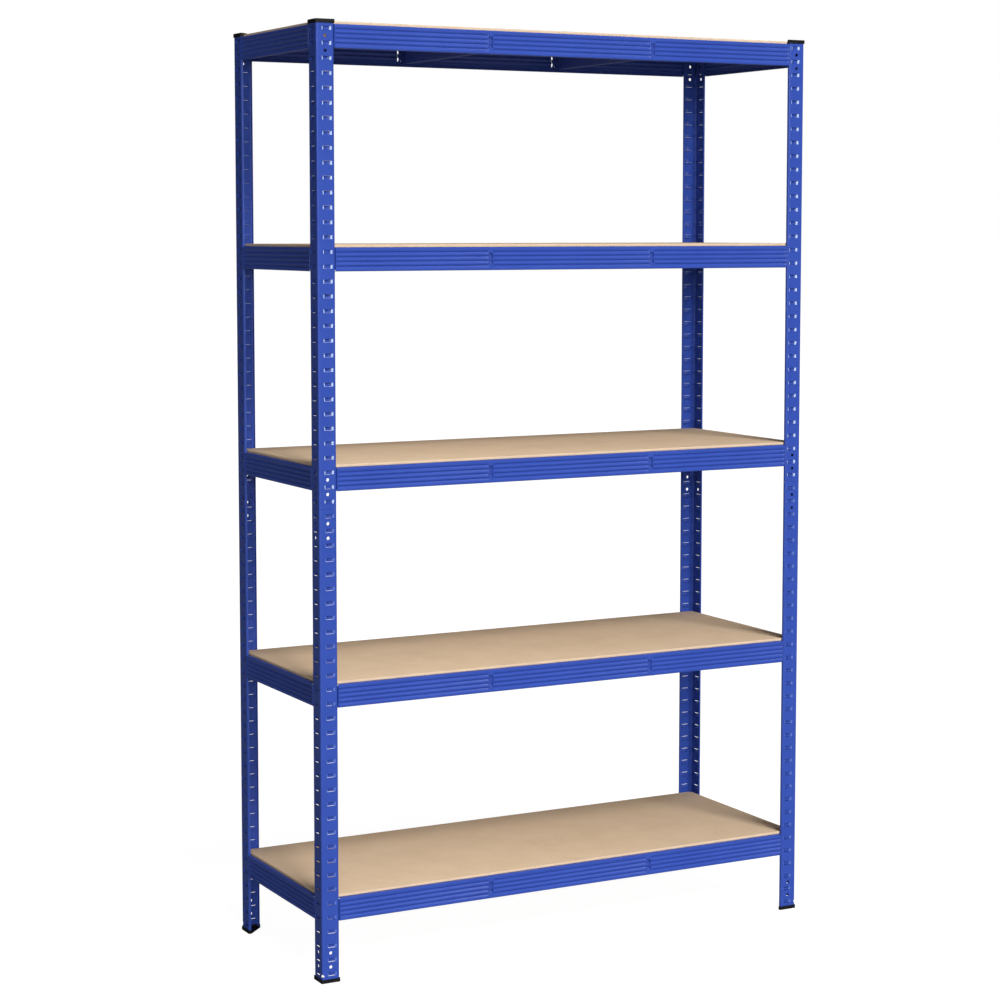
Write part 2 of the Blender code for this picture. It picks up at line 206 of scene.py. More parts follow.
# %% [markdown]
# ### Fibreboard
# The shelves are hard-pressed fibreboard. Its face is a felt of short brown fibres: cloudy over a
# few centimetres, with darker flecks and pale hairs of a millimetre or two. The sawn edge is the
# same stuff cut across, paler and rougher, with a dense skin at the top and the bottom. The hairs
# are noise that is stretched along one axis, laid in two directions.

# %% The fibreboard group
def fibreboard_group():
    group, given, result = texture_group(
        "fibreboard",
        {"Cloud Scale": 9.0, "Fleck Scale": 520.0, "Fleck Strength": 0.5, "Roughness": 0.75},
        {
            "Colour": (0.5, 0.36, 0.23), "Dark Colour": (0.4, 0.28, 0.17),
            "Pale Colour": (0.62, 0.47, 0.32),
        },
        {"Colour": "Color", "Roughness": "Float", "Height": "Float"},
    )
    place = group.nodes.new("ShaderNodeTexCoord").outputs["Object"]
    cloud = noise(group, place, given.outputs["Cloud Scale"], detail=6.0, rough=0.62)
    patch = spread(group, cloud, 0.38, 0.66, 0.0, 0.55)
    colour = blend_colour(group, patch, given.outputs["Colour"], given.outputs["Dark Colour"])
    hairs = []
    for stretch in ((1.0, 0.18, 1.0), (0.18, 1.0, 1.0)):
        squeezed = group.nodes.new("ShaderNodeMapping")
        squeezed.inputs["Scale"].default_value = stretch
        group.links.new(place, squeezed.inputs["Vector"])
        hairs.append(noise(group, squeezed.outputs["Vector"], given.outputs["Fleck Scale"], 2.0, 0.6))
    pale = spread(group, hairs[0], 0.58, 0.74)
    dark = spread(group, hairs[1], 0.60, 0.76)
    pale = maths(group, "MULTIPLY", pale, given.outputs["Fleck Strength"])
    dark = maths(group, "MULTIPLY", dark, given.outputs["Fleck Strength"])
    colour = blend_colour(group, pale, colour, given.outputs["Pale Colour"])
    colour = blend_colour(group, dark, colour, given.outputs["Dark Colour"])
    uneven = spread(group, cloud, 0.3, 0.7, -0.06, 0.06)
    rough = maths(group, "ADD", given.outputs["Roughness"], uneven)
    height = maths(group, "SUBTRACT", hairs[0], hairs[1])
    group.links.new(colour, result.inputs["Colour"])
    group.links.new(rough, result.inputs["Roughness"])
    group.links.new(height, result.inputs["Height"])
    return group


# %% [markdown]
# ### Moulded plastic
# The caps and feet are injection-moulded in black. A spark-eroded mould leaves a fine even grain,
# and handling leaves faint paler scuffs, which only a little change of roughness and grey shows.

# %% The moulded plastic group
def moulded_plastic_group():
    group, given, result = texture_group(
        "moulded_plastic",
        {"Grain Scale": 1500.0, "Scuff Scale": 60.0, "Roughness": 0.5},
        {"Colour": (0.007, 0.007, 0.008), "Scuff Colour": (0.014, 0.014, 0.015)},
        {"Colour": "Color", "Roughness": "Float", "Height": "Float"},
    )
    place = group.nodes.new("ShaderNodeTexCoord").outputs["Object"]
    grain = noise(group, place, given.outputs["Grain Scale"], detail=2.0)
    scuff = spread(group, noise(group, place, given.outputs["Scuff Scale"], 5.0, 0.7), 0.58, 0.75)
    colour = blend_colour(group, scuff, given.outputs["Colour"], given.outputs["Scuff Colour"])
    uneven = spread(group, grain, 0.3, 0.7, -0.06, 0.06)
    rough = maths(group, "ADD", given.outputs["Roughness"], uneven)
    group.links.new(colour, result.inputs["Colour"])
    group.links.new(rough, result.inputs["Roughness"])
    group.links.new(grain, result.inputs["Height"])
    return group


# %% [markdown]
# ### From a group to a material
# Each material is the group with its own values, a Principled BSDF and a Bump node. The bump's
# distance is the depth of the relief in metres: some hundredths of a millimetre for a coat of
# powder, and a little more for cut fibres.

# %% Make a material from a group
def finish(name, group, values, relief, specular=0.5):
    """A material whose colour, roughness and height come from the group with these input values."""
    made = bpy.data.materials.new(name)
    made.use_nodes = True
    tree = made.node_tree
    shader = tree.nodes["Principled BSDF"]
    shader.inputs["Specular IOR Level"].default_value = specular
    texture = tree.nodes.new("ShaderNodeGroup")
    texture.node_tree = group
    for label, value in values.items():
        texture.inputs[label].default_value = (*value, 1.0) if isinstance(value, tuple) else value
    bump = tree.nodes.new("ShaderNodeBump")
    bump.inputs["Strength"].default_value = 1.0
    bump.inputs["Distance"].default_value = relief
    tree.links.new(texture.outputs["Colour"], shader.inputs["Base Color"])
    tree.links.new(texture.outputs["Roughness"], shader.inputs["Roughness"])
    tree.links.new(texture.outputs["Height"], bump.inputs["Height"])
    tree.links.new(bump.outputs["Normal"], shader.inputs["Normal"])
    return made


# %% The rack's materials
coat = powder_coat_group()
board_stuff = fibreboard_group()
PAINT_RELIEF = 0.03 * MM
HIGHLIGHT_RELIEF = 0.02 * MM
PAINT_GLOSS = 0.3
blue = {"Colour": (0.028, 0.067, 0.365), "Thin Colour": (0.032, 0.075, 0.39), "Roughness": 0.36}
post_steel = finish("post_blue_coat", coat, blue, PAINT_RELIEF, PAINT_GLOSS)
beam_steel = finish("beam_blue_coat", coat, blue, PAINT_RELIEF, PAINT_GLOSS)
# Painted highlight: a pale blue for the outward faces of the straps' ramps, standing in for light that
# glints on them.
upper_ramp_highlight = finish(
    "post_painted_highlight", coat,
    {"Colour": (0.47, 0.61, 0.90), "Thin Colour": (0.55, 0.68, 0.94), "Roughness": 0.25},
    HIGHLIGHT_RELIEF,
)
# The lower halves get a dimmer painted highlight on the same ramp faces.
lower_ramp_highlight = finish(
    "post_painted_highlight_dim", coat,
    {"Colour": (0.09, 0.16, 0.55), "Thin Colour": (0.12, 0.20, 0.60), "Roughness": 0.3},
    HIGHLIGHT_RELIEF,
)
crossbar_steel = finish(
    "crossbar_blue_coat", coat,
    {"Colour": (0.028, 0.060, 0.34), "Thin Colour": (0.032, 0.068, 0.36), "Roughness": 0.4},
    PAINT_RELIEF, PAINT_GLOSS,
)
splice_steel = finish(
    "splice_blue_coat", coat,
    {"Colour": (0.027, 0.058, 0.33), "Thin Colour": (0.031, 0.066, 0.35), "Roughness": 0.4},
    PAINT_RELIEF, PAINT_GLOSS,
)
board_face = finish(
    "board_pressed_face", board_stuff,
    {
        "Colour": (0.77, 0.58, 0.395), "Dark Colour": (0.675, 0.49, 0.32),
        "Pale Colour": (0.86, 0.69, 0.50),
    },
    0.06 * MM, specular=0.25,
)
board_edge = finish(
    "board_sawn_edge", board_stuff,
    {
        "Colour": (0.71, 0.54, 0.38), "Dark Colour": (0.58, 0.43, 0.295),
        "Pale Colour": (0.79, 0.64, 0.48), "Cloud Scale": 40.0, "Fleck Scale": 900.0,
        "Fleck Strength": 0.7, "Roughness": 0.86,
    },
    0.12 * MM, specular=0.15,
)
cap_plastic = finish("cap_black_plastic", moulded_plastic_group(), {}, 0.03 * MM, specular=0.25)
print("materials:", ", ".join(m.name for m in bpy.data.materials if m.use_nodes and m.users == 0))

# %% [markdown]
# ## Sheet metal as a middle surface
# A pressed or folded sheet is one thickness everywhere. So each steel piece is drawn as the surface
# in the middle of the sheet, and a Solidify modifier gives it both faces and its cut edges. The
# surface is a grid: a bent line across the piece, repeated at a list of levels along it. Cells are
# left out where a window is cut, and a strap, a hook or a tongue is a strip that grows from the
# grid's own vertices, as the press leaves it.

# %% A bent line
ARC_STEPS = 5
HAIR = 0.01 * MM         # the margin when a point is tested against a plane


def rounded(corners, radii):
    """The points of a line whose corners become arcs; a radius of 0 keeps a point as it is."""
    line = [Vector(corners[0])]
    for before, here, after, radius in zip(corners, corners[1:], corners[2:], radii):
        here = Vector(here)
        if not radius:
            line.append(here)
            continue
        arriving = (here - Vector(before)).normalized()
        leaving = (Vector(after) - here).normalized()
        turn = math.atan2(arriving.cross(leaving), arriving.dot(leaving))
        start = here - arriving * radius * math.tan(abs(turn) / 2)
        spoke = Vector((arriving.y, -arriving.x)) * math.copysign(radius, turn)
        for step in range(ARC_STEPS + 1):
            line.append(start - spoke + Matrix.Rotation(turn * step / ARC_STEPS, 2) @ spoke)
    line.append(Vector(corners[-1]))
    return line


# %% A grid with openings, and the strips that grow from it
def grid_surface(work, line, levels, place, is_open):
    """Quads along a bent line at each pair of levels; returns the function that finds a vertex."""
    made = {}

    def vertex(column, row):
        if (column, row) not in made:
            made[column, row] = work.verts.new(place(line[column], levels[row]))
        return made[column, row]

    for column in range(len(line) - 1):
        for row in range(len(levels) - 1):
            middle = (line[column] + line[column + 1]) / 2
            if not is_open(middle, (levels[row] + levels[row + 1]) / 2):
                corners = ((column, row), (column + 1, row), (column + 1, row + 1), (column, row + 1))
                work.faces.new([vertex(*corner) for corner in corners])
    return vertex


def nearest(values, wanted):
    """The index of the value, or the point, that lies nearest to the wanted one."""
    def off_by(index):
        gap = values[index] - wanted
        return gap.length if isinstance(gap, Vector) else abs(gap)

    return min(range(len(values)), key=off_by)


def grow_strip(work, start, pairs, end=None):
    """A strip of sheet from two vertices through pairs of points, and on to two more vertices."""
    rungs = [start] + [[work.verts.new(point) for point in pair] for pair in pairs]
    if end:
        rungs.append(end)
    for (left, right), (next_left, next_right) in zip(rungs, rungs[1:]):
        work.faces.new((left, right, next_right, next_left))


# %% From a drawing to a finished mesh
SMOOTH_BELOW = math.radians(38)


def scratch_object(name, work):
    """A new object that holds the drawing."""
    mesh = bpy.data.meshes.new(name)
    bmesh.ops.recalc_face_normals(work, faces=work.faces[:])
    work.to_mesh(mesh)
    work.free()
    obj = bpy.data.objects.new(name, mesh)
    bpy.context.scene.collection.objects.link(obj)
    return obj


def baked(obj, materials, tools=()):
    """The mesh of an object with its modifiers applied; the object and its tools are removed."""
    graph = bpy.context.evaluated_depsgraph_get()
    mesh = bpy.data.meshes.new_from_object(obj.evaluated_get(graph))
    mesh.name = obj.name
    mesh.materials.clear()
    for material in materials:
        mesh.materials.append(material)
    mesh.shade_smooth()
    mesh.set_sharp_from_angle(angle=SMOOTH_BELOW)
    for used in (obj, *tools):
        bpy.data.objects.remove(used, do_unlink=True)
    print(mesh.name, len(mesh.polygons), "faces")
    return mesh


def thicken(obj, thickness):
    """Gives a middle surface its thickness, half to each side."""
    solid = obj.modifiers.new("thickness", "SOLIDIFY")
    solid.thickness = thickness
    solid.offset = 0.0
    solid.use_even_offset = True


# %% Round holes
HOLE_SIDES = 20


def drill(obj, holes):
    """Drills round holes, each given by its centre, direction, diameter and depth; returns the tool."""
    work = bmesh.new()
    for centre, direction, diameter, depth in holes:
        turn = Vector(direction).to_track_quat("Z", "Y").to_matrix().to_4x4()
        bmesh.ops.create_cone(
            work, segments=HOLE_SIDES, radius1=diameter / 2, radius2=diameter / 2, depth=depth,
            cap_ends=True, matrix=Matrix.Translation(centre) @ turn,
        )
    tool = scratch_object(obj.name + "_drill", work)
    tool.hide_render = True
    cut = obj.modifiers.new("holes", "BOOLEAN")
    cut.operation = "DIFFERENCE"
    cut.object = tool
    return tool


def set_down(node, mesh, place):
    """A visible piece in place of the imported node, on the node's own body."""
    piece = bpy.data.objects.new(node + "_finished", mesh)
    bpy.context.scene.collection.objects.link(piece)
    piece.matrix_world = place
    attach(piece, frame["nodes"][node]["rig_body"])
    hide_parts(node)
    return piece


# %% [markdown]
# ## Posts
# A post is an angle of 1.2 mm sheet with a folded lip on each free edge. Every 30.2 mm the press
# slits each flange twice and pushes the bar between the slits inward as a strap, which stays joined
# to the sheet at its two ends. Beam hooks drop over these straps, from any side and at any height.
# Round holes near the ends take screws, and a hole through the corner marks the foot. The halves
# are otherwise the same pressing, so one function draws the lower and the upper one.
#
# The outward faces of a strap's two ramps get a second material, a pale blue that is a painted
# highlight:
# it stands for light glinting on the pressed ramps. It is put on the flanges that face front and rear,
# bright on the upper halves and dimmer on the lower ones, so that slot of the material list belongs to
# the object and not to the mesh.

# %% Post sizes
POST_SHEET = 1.2 * MM
POST_BEND = 2.4 * MM
LIP_BEND = 3.4 * MM
LIP_DEPTH = 5.4 * MM
SLOT_PITCH = 30.2 * MM
SLOTS = 33
WINDOW = (12.6 * MM, 33.4 * MM)
WINDOW_HALF = 3.9 * MM
STRAP_HALF = 3.8 * MM
STRAP_PLANE = 4.3 * MM
RAMP = 3.2 * MM
HOLE_PLACE = 20 * MM
HOLE_DIAMETER = 7 * MM
CORNER_HOLE = 7 * MM
CORNER_HOLE_LEVEL = 12 * MM


# %% The strap of one slot
def strap_points(level, swapped):
    """Pairs of points along a strap, between its two ends, in one flange or the other."""
    middle = POST_SHEET / 2
    rise = STRAP_PLANE - middle
    ramp = ((1.3, 0.22), (2.9, 0.72), (4.4, 1))
    entry = [(WINDOW[0] + along * MM, middle + share * rise) for along, share in ramp]
    leave = [(sum(WINDOW) - along, depth) for along, depth in reversed(entry)]
    pairs = []
    for along, depth in entry + leave:
        flat = (depth, along) if swapped else (along, depth)
        pairs.append([(*flat, level - STRAP_HALF), (*flat, level + STRAP_HALF)])
    return pairs


# %% Where the painted highlight goes
FACES_OUT = 0.3


def takes_painted_highlight(centre, normal):
    """True for the outward faces of a strap's two ramps, which get the painted highlight."""
    along, depth = max(centre.x, centre.y), min(centre.x, centre.y)
    outward = -normal.y if centre.x > centre.y else -normal.x
    off_level = abs(centre.z / SLOT_PITCH % 1 - 0.5) * SLOT_PITCH
    from_end = (WINDOW[1] - WINDOW[0]) / 2 - abs(along - sum(WINDOW) / 2)
    on_ramp = 0 < from_end < RAMP and depth < STRAP_PLANE
    return on_ramp and off_level < STRAP_HALF and outward > FACES_OUT


# %% Half a post
def post_mesh(name, corner_holes):
    """Half a post; corner_holes are the levels of the holes through its corner."""
    middle = POST_SHEET / 2
    far = FLANGE - middle
    flange = [(far, LIP_DEPTH), (far, middle), (WINDOW[1], middle), (WINDOW[0], middle)]
    other = [(y, x) for x, y in reversed(flange)]
    radii = [LIP_BEND, 0, 0, POST_BEND, 0, 0, LIP_BEND]
    line = rounded(flange + [(middle, middle)] + other, radii)
    centres = [(slot + 0.5) * SLOT_PITCH for slot in range(SLOTS)]
    steps = (-WINDOW_HALF, -STRAP_HALF, STRAP_HALF, WINDOW_HALF)
    levels = [0.0] + [centre + step for centre in centres for step in steps] + [HALF_POST]

    def in_window(point, level):
        along, depth = max(point), min(point)
        off_centre = abs(level / SLOT_PITCH % 1 - 0.5) * SLOT_PITCH
        return depth < POST_SHEET and WINDOW[0] < along < WINDOW[1] and off_centre < WINDOW_HALF

    work = bmesh.new()
    vertex = grid_surface(work, line, levels, lambda point, level: (*point, level), in_window)
    for swapped in (False, True):
        ends = []
        for along in WINDOW:
            place = (middle, along) if swapped else (along, middle)
            ends.append(nearest(line, Vector(place)))
        for number, centre in enumerate(centres):
            rows = (4 * number + 2, 4 * number + 3)
            start, end = ([vertex(column, row) for row in rows] for column in ends)
            grow_strip(work, start, strap_points(centre, swapped), end)
    obj = scratch_object(name, work)
    thicken(obj, POST_SHEET)
    holes = []
    for step in (1, 2):
        for level in (step * SLOT_PITCH, HALF_POST - step * SLOT_PITCH):
            holes.append(((HOLE_PLACE, middle, level), (0, 1, 0), HOLE_DIAMETER, 6 * POST_SHEET))
            holes.append(((middle, HOLE_PLACE, level), (1, 0, 0), HOLE_DIAMETER, 6 * POST_SHEET))
    for level in corner_holes:
        holes.append(((middle, middle, level), (1, 1, 0), CORNER_HOLE, 6 * POST_BEND))
    mesh = baked(obj, [post_steel, post_steel, post_steel], [drill(obj, holes)])
    # The outward ramp faces take the second or third slot, where the painted highlight goes.
    for polygon in mesh.polygons:
        if takes_painted_highlight(polygon.center, polygon.normal):
            polygon.material_index = 1 if polygon.center.x > polygon.center.y else 2
    return mesh


# %% Set the eight halves down
lower_half = post_mesh("post_lower_half", [CORNER_HOLE_LEVEL])
upper_half = post_mesh("post_upper_half", [])
for corner, (across, along, turn) in CORNERS.items():
    for half, mesh, ends in (("lower", lower_half, lower_ramp_highlight), ("upper", upper_half, upper_ramp_highlight)):
        node = f"post_{half}_{corner}"
        piece = set_down(node, mesh, frame_at(across, along, turn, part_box(node)[0].z))
        # The flanges that face front or rear get the painted highlight on their ramps, dimmer on the
        # lower halves.
        slot = piece.material_slots[1 if turn % 180 == 0 else 2]
        slot.link = "OBJECT"
        slot.material = ends

# %% [markdown]
# ## Beams
# A beam is a channel of 1 mm sheet: a ledge on top that carries the board, a web with four rolled
# grooves that stiffen it, and a short lower flange. At each end the web steps inward past the
# post's lip into a flat tab. Two hooks are cut from the tab and folded outward. They reach between
# the window and the strap of two slots and hang there. The long beams also have two windows with
# an upright strap, the lances, which take the tongues of the crossbars.

# %% Beam sizes
beam_low, beam_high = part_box("beam_front_1")
BEAM_HEIGHT = beam_high.z - beam_low.z
LEDGE = beam_high.y - beam_low.y
BEAM_SHEET = 1.0 * MM
BEAM_BEND = 1.5 * MM
LOWER_FLANGE = 10 * MM
TAB_END = HALF_WIDTH + beam_low.x
WEB_START = FLANGE + 1.2 * MM
JOGGLE_START = FLANGE + 0.2 * MM
TAB_PLANE = 6.2 * MM
TAB_LEVELS = (-46.6 * MM, -2.3 * MM)
GROOVES = (-10.8 * MM, -20.4 * MM, -30.0 * MM, -39.6 * MM)
GROOVE_HALF = 4.2 * MM
GROOVE_DEPTH = 2.5 * MM
GROOVE_RUN_OUT = 4 * MM
HOOK_SPAN = (17 * MM, 29 * MM)
HOOK_LEVELS = (-5.1 * MM, -35.3 * MM)
HOOK_WINDOW = 9 * MM
HOOK_PLANE = 2.7 * MM
HOOK_DROP = 7.2 * MM
LANCE_SEAT = 0.2
LANCE_HALF = 5 * MM
LANCE_STRAP_HALF = 3 * MM
LANCE_LEVELS = (-37 * MM, -12 * MM)
LANCE_PLANE = 3.4 * MM
RELIEF_HOLE = 11 * MM
RELIEF_BELOW = 4 * MM
print("beam height", round(BEAM_HEIGHT / MM, 2), "mm, tab starts", round(TAB_END / MM, 2), "mm in")


# %% How deep the web lies
def smooth_step(value):
    value = min(max(value, 0.0), 1.0)
    return value * value * (3 - 2 * value)


def web_depth(from_end, from_seat, level):
    """How far the web lies inward of the flat: in the grooves, and where it steps into the tab."""
    run = min(from_end - WEB_START, from_seat - LANCE_HALF)
    share = smooth_step(run / GROOVE_RUN_OUT)
    off = min(abs(level - centre) for centre in GROOVES) / GROOVE_HALF
    groove = GROOVE_DEPTH * share * math.cos(min(off, 1) * math.pi / 2) ** 2
    step = smooth_step((WEB_START - from_end) / (WEB_START - JOGGLE_START))
    return groove + step * (TAB_PLANE - BEAM_SHEET / 2)


# %% The levels and stations of a beam's grid
def beam_levels():
    """Heights on the web where the grid needs a row, from the top down."""
    levels = [TAB_LEVELS[0], *LANCE_LEVELS]
    for hook in HOOK_LEVELS:
        levels += [hook, hook - HOOK_WINDOW]
    for groove in GROOVES:
        levels += [groove + GROOVE_HALF * share / 4 for share in range(-4, 5)]
    return sorted(set(levels), reverse=True)


def beam_stations(half_span, seats):
    """Places along the beam where the grid needs a column."""
    joggle = [JOGGLE_START + (WEB_START - JOGGLE_START) * share / 4 for share in range(5)]
    run_out = [WEB_START + GROOVE_RUN_OUT * share / 4 for share in range(1, 5)]
    near_end = [TAB_END, *HOOK_SPAN, *joggle, *run_out]
    stations = [sign * (half_span - offset) for offset in near_end for sign in (-1, 1)]
    for seat in seats:
        for offset in (LANCE_STRAP_HALF, LANCE_HALF):
            stations += [seat - offset, seat + offset]
        for share in range(1, 5):
            offset = LANCE_HALF + GROOVE_RUN_OUT * share / 4
            stations += [seat - offset, seat + offset]
    return sorted(stations)


# %% A whole beam
def beam_mesh(name, half_span, seats):
    middle = BEAM_SHEET / 2
    web = [(middle, level) for level in beam_levels()]
    corners = [(LEDGE, -middle), (middle, -middle), *web, (middle, middle - BEAM_HEIGHT),
               (LOWER_FLANGE, middle - BEAM_HEIGHT)]
    line = rounded(corners, [BEAM_BEND] + [0] * len(web) + [BEAM_BEND])
    stations = beam_stations(half_span, seats)

    def on_web(point):
        return point.x < middle + HAIR and TAB_LEVELS[0] - MM < point.y < TAB_LEVELS[1] + HAIR

    def place(point, station):
        depth = point.x
        if on_web(point):
            from_seat = min([abs(station - seat) for seat in seats], default=1.0)
            depth += web_depth(half_span - abs(station), from_seat, point.y)
        return (station, depth, point.y)

    def is_open(point, station):
        from_end = half_span - abs(station)
        if from_end < WEB_START:
            in_tab = on_web(point) and TAB_LEVELS[0] < point.y < TAB_LEVELS[1]
            in_hook = HOOK_SPAN[0] < from_end < HOOK_SPAN[1] and any(
                hook - HOOK_WINDOW < point.y < hook for hook in HOOK_LEVELS
            )
            return in_hook or not in_tab
        in_lance = any(abs(station - seat) < LANCE_HALF for seat in seats)
        return in_lance and LANCE_LEVELS[0] < point.y < LANCE_LEVELS[1]

    work = bmesh.new()
    vertex = grid_surface(work, line, stations, place, is_open)
    grow_hooks(work, vertex, line, stations, half_span)
    for seat in seats:
        grow_lance(work, vertex, line, stations, seat)
    obj = scratch_object(name, work)
    thicken(obj, BEAM_SHEET)
    level = sum(HOOK_LEVELS) / 2 - RELIEF_BELOW
    holes = [
        ((side * (half_span - HOLE_PLACE), TAB_PLANE, level), (0, 1, 0), RELIEF_HOLE, 4 * BEAM_SHEET)
        for side in (-1, 1)
    ]
    return baked(obj, [beam_steel], [drill(obj, holes)])


# %% Hooks and lances
HOOK_TAPER = 1.2 * MM


def grow_hooks(work, vertex, line, stations, half_span):
    """Two hooks at each end, folded out of the tab and down, a little narrower at the tip."""
    for side in (-1, 1):
        edges = sorted(side * (half_span - offset) for offset in HOOK_SPAN)
        columns = [nearest(stations, edge) for edge in edges]
        for level in HOOK_LEVELS:
            row = nearest(line, Vector((BEAM_SHEET / 2, level)))
            path = (
                (4.6 * MM, 0, 0), (3.5 * MM, 0, 0), (2.9 * MM, -0.25 * MM, 0),
                (HOOK_PLANE, -1.0 * MM, 0), (HOOK_PLANE, -4.5 * MM, 0.3), (HOOK_PLANE, -HOOK_DROP, 1.0),
            )
            pairs = []
            for depth, drop, share in path:
                inset = share * HOOK_TAPER
                left, right = edges[0] + inset, edges[1] - inset
                pairs.append([(left, depth, level + drop), (right, depth, level + drop)])
            grow_strip(work, [vertex(row, column) for column in columns], pairs)


def grow_lance(work, vertex, line, stations, seat):
    """The upright strap of a crossbar's seat, pressed inward between the ends of its window."""
    edges = (seat - LANCE_STRAP_HALF, seat + LANCE_STRAP_HALF)
    columns = [nearest(stations, edge) for edge in edges]
    rows = [nearest(line, Vector((BEAM_SHEET / 2, level))) for level in reversed(LANCE_LEVELS)]
    low, high = LANCE_LEVELS
    path = ((1.5, 1.2), (3.0, 3.0), (LANCE_PLANE / MM, 4.4))
    entry = [(depth * MM, high - drop * MM) for depth, drop in path]
    leave = [(depth, low + high - level) for depth, level in reversed(entry)]
    pairs = [[(edge, depth, level) for edge in edges] for depth, level in entry + leave]
    start, end = ([vertex(row, column) for column in columns] for row in rows)
    grow_strip(work, start, pairs, end)


# %% Set the twenty beams down
long_beam = beam_mesh("long_beam", HALF_WIDTH, (-LANCE_SEAT, LANCE_SEAT))
side_beam = beam_mesh("side_beam", HALF_DEPTH, ())
for tier in TIERS:
    for side, (across, along, turn) in SIDES.items():
        node = f"beam_{side}_{tier}"
        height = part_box(node)[1].z
        set_down(node, side_beam if across else long_beam, frame_at(across, along, turn, height))

# %% [markdown]
# ## Crossbars
# Two light channels under each board stop it from sagging. Each end of the web turns the corner
# against the long beam and narrows to a tongue that slides behind the lance. The grid's line runs
# along the bar and round both corners, and its levels run over the two flanges and the web.

# %% Crossbar sizes
BAR_SHEET = 0.8 * MM
BAR_PLANE = 0.5 * MM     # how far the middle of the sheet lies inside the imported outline
BAR_BEND = 1.0 * MM
BAR_HEIGHT = 43 * MM
BAR_TOP_FLANGE = 16 * MM
BAR_LOWER_FLANGE = 10 * MM
BAR_WEB = LANCE_HALF + 0.8 * MM
BAR_BODY_END = HALF_DEPTH - LEDGE - 0.6 * MM
TONGUE_PLANE = HALF_DEPTH - 1.95 * MM
TONGUE_START = LANCE_STRAP_HALF + 0.6 * MM
END_LEVELS = (-41 * MM, -3 * MM)
TONGUE_LEVELS = (-29 * MM, -20 * MM)


# %% A whole crossbar
def crossbar_mesh():
    ends = []
    for side in (-1, 1):
        end = [(-LANCE_HALF, side * TONGUE_PLANE), (TONGUE_START, side * TONGUE_PLANE),
               (BAR_WEB, side * TONGUE_PLANE), (BAR_WEB, side * BAR_BODY_END)]
        ends.append(end)
    line = rounded(ends[0] + ends[1][::-1], [0, BAR_BEND, 0, 0, BAR_BEND, 0])
    middle = BAR_PLANE
    web = [(0, level) for level in (END_LEVELS[1], TONGUE_LEVELS[1], TONGUE_LEVELS[0], END_LEVELS[0])]
    section = rounded(
        [(BAR_TOP_FLANGE - middle, -middle), (0, -middle), *web, (0, middle - BAR_HEIGHT),
         (BAR_LOWER_FLANGE - middle, middle - BAR_HEIGHT)],
        [BAR_BEND, 0, 0, 0, 0, BAR_BEND],
    )

    def is_open(point, cell):
        if abs(point.y) < BAR_BODY_END:
            return False
        low, high = TONGUE_LEVELS if point.x < TONGUE_START else END_LEVELS
        return cell.x > HAIR or not low < cell.y < high

    work = bmesh.new()
    grid_surface(work, line, section, lambda point, cell: (point.x + cell.x, point.y, cell.y), is_open)
    obj = scratch_object("crossbar", work)
    thicken(obj, BAR_SHEET)
    return baked(obj, [crossbar_steel])


# %% Set the ten crossbars down
crossbar = crossbar_mesh()
for tier in TIERS:
    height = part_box(f"beam_front_{tier}")[1].z
    for side, seat in (("left", -LANCE_SEAT), ("right", LANCE_SEAT)):
        set_down(f"crossbar_{side}_{tier}", crossbar, Matrix.Translation((seat, 0, height)))

# %% [markdown]
# ## Splices
# Where two halves of a post meet, a short angle sits inside both. One hook on each leg hangs on the
# strap below the joint and one pushes up behind the strap above it, so the halves can't part. The
# screw holes of the post go through the splice too.

# %% Splice sizes
SPLICE_LEG = 35 * MM
SPLICE_PLANE = 6.3 * MM
SPLICE_BEND = 2.4 * MM
SPLICE_REACH = SLOT_PITCH / 2 + 19.9 * MM
SPLICE_HOOK_ROOT = SLOT_PITCH / 2 - 4.0 * MM


# %% A whole splice
def splice_mesh():
    leg = [(SPLICE_LEG, SPLICE_PLANE), (HOOK_SPAN[1], SPLICE_PLANE), (HOOK_SPAN[0], SPLICE_PLANE)]
    other = [(y, x) for x, y in reversed(leg)]
    line = rounded(leg + [(SPLICE_PLANE, SPLICE_PLANE)] + other, [0, 0, SPLICE_BEND, 0, 0])
    root = SPLICE_HOOK_ROOT
    outer = root + HOOK_WINDOW
    levels = [-SPLICE_REACH, -outer, -root, root, outer, SPLICE_REACH]

    def is_open(point, level):
        in_hook = HOOK_SPAN[0] < max(point) < HOOK_SPAN[1] and root < abs(level) < outer
        return in_hook and min(point) < SPLICE_PLANE + HAIR

    work = bmesh.new()
    vertex = grid_surface(work, line, levels, lambda point, level: (*point, level), is_open)
    for swapped in (False, True):
        ends = [nearest(line, Vector((SPLICE_PLANE, x) if swapped else (x, SPLICE_PLANE)))
                for x in HOOK_SPAN]
        for turn in (-1, 1):
            row = nearest(levels, turn * root)
            path = ((4.6, 0), (3.5, 0), (2.9, 0.25), (HOOK_PLANE / MM, 1.0), (HOOK_PLANE / MM, 7.2))
            pairs = []
            for depth, drop in path:
                level = turn * (root + drop * MM)
                flat = [(depth * MM, x) if swapped else (x, depth * MM) for x in HOOK_SPAN]
                pairs.append([(*point, level) for point in flat])
            grow_strip(work, [vertex(column, row) for column in ends], pairs)
    obj = scratch_object("splice", work)
    thicken(obj, BEAM_SHEET)
    holes = []
    for level in (-SLOT_PITCH, SLOT_PITCH):
        holes.append(((HOLE_PLACE, SPLICE_PLANE, level), (0, 1, 0), RELIEF_HOLE, 4 * MM))
        holes.append(((SPLICE_PLANE, HOLE_PLACE, level), (1, 0, 0), RELIEF_HOLE, 4 * MM))
    return baked(obj, [splice_steel], [drill(obj, holes)])


# %% Set the four splices down
splice = splice_mesh()
for corner, (across, along, turn) in CORNERS.items():
    low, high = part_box(f"splice_{corner}")
    set_down(f"splice_{corner}", splice, frame_at(across, along, turn, (low.z + high.z) / 2))

# %% [markdown]
# ## Caps and feet
# One moulded part closes both ends of a post. It has a three-cornered plate, an outer band that
# grips the flanges from outside and a thin skirt inside them. The plate is a flat outline given a
# thickness, the walls are strips, a Boolean joins them, and a small Bevel rounds every edge as a
# mould does.

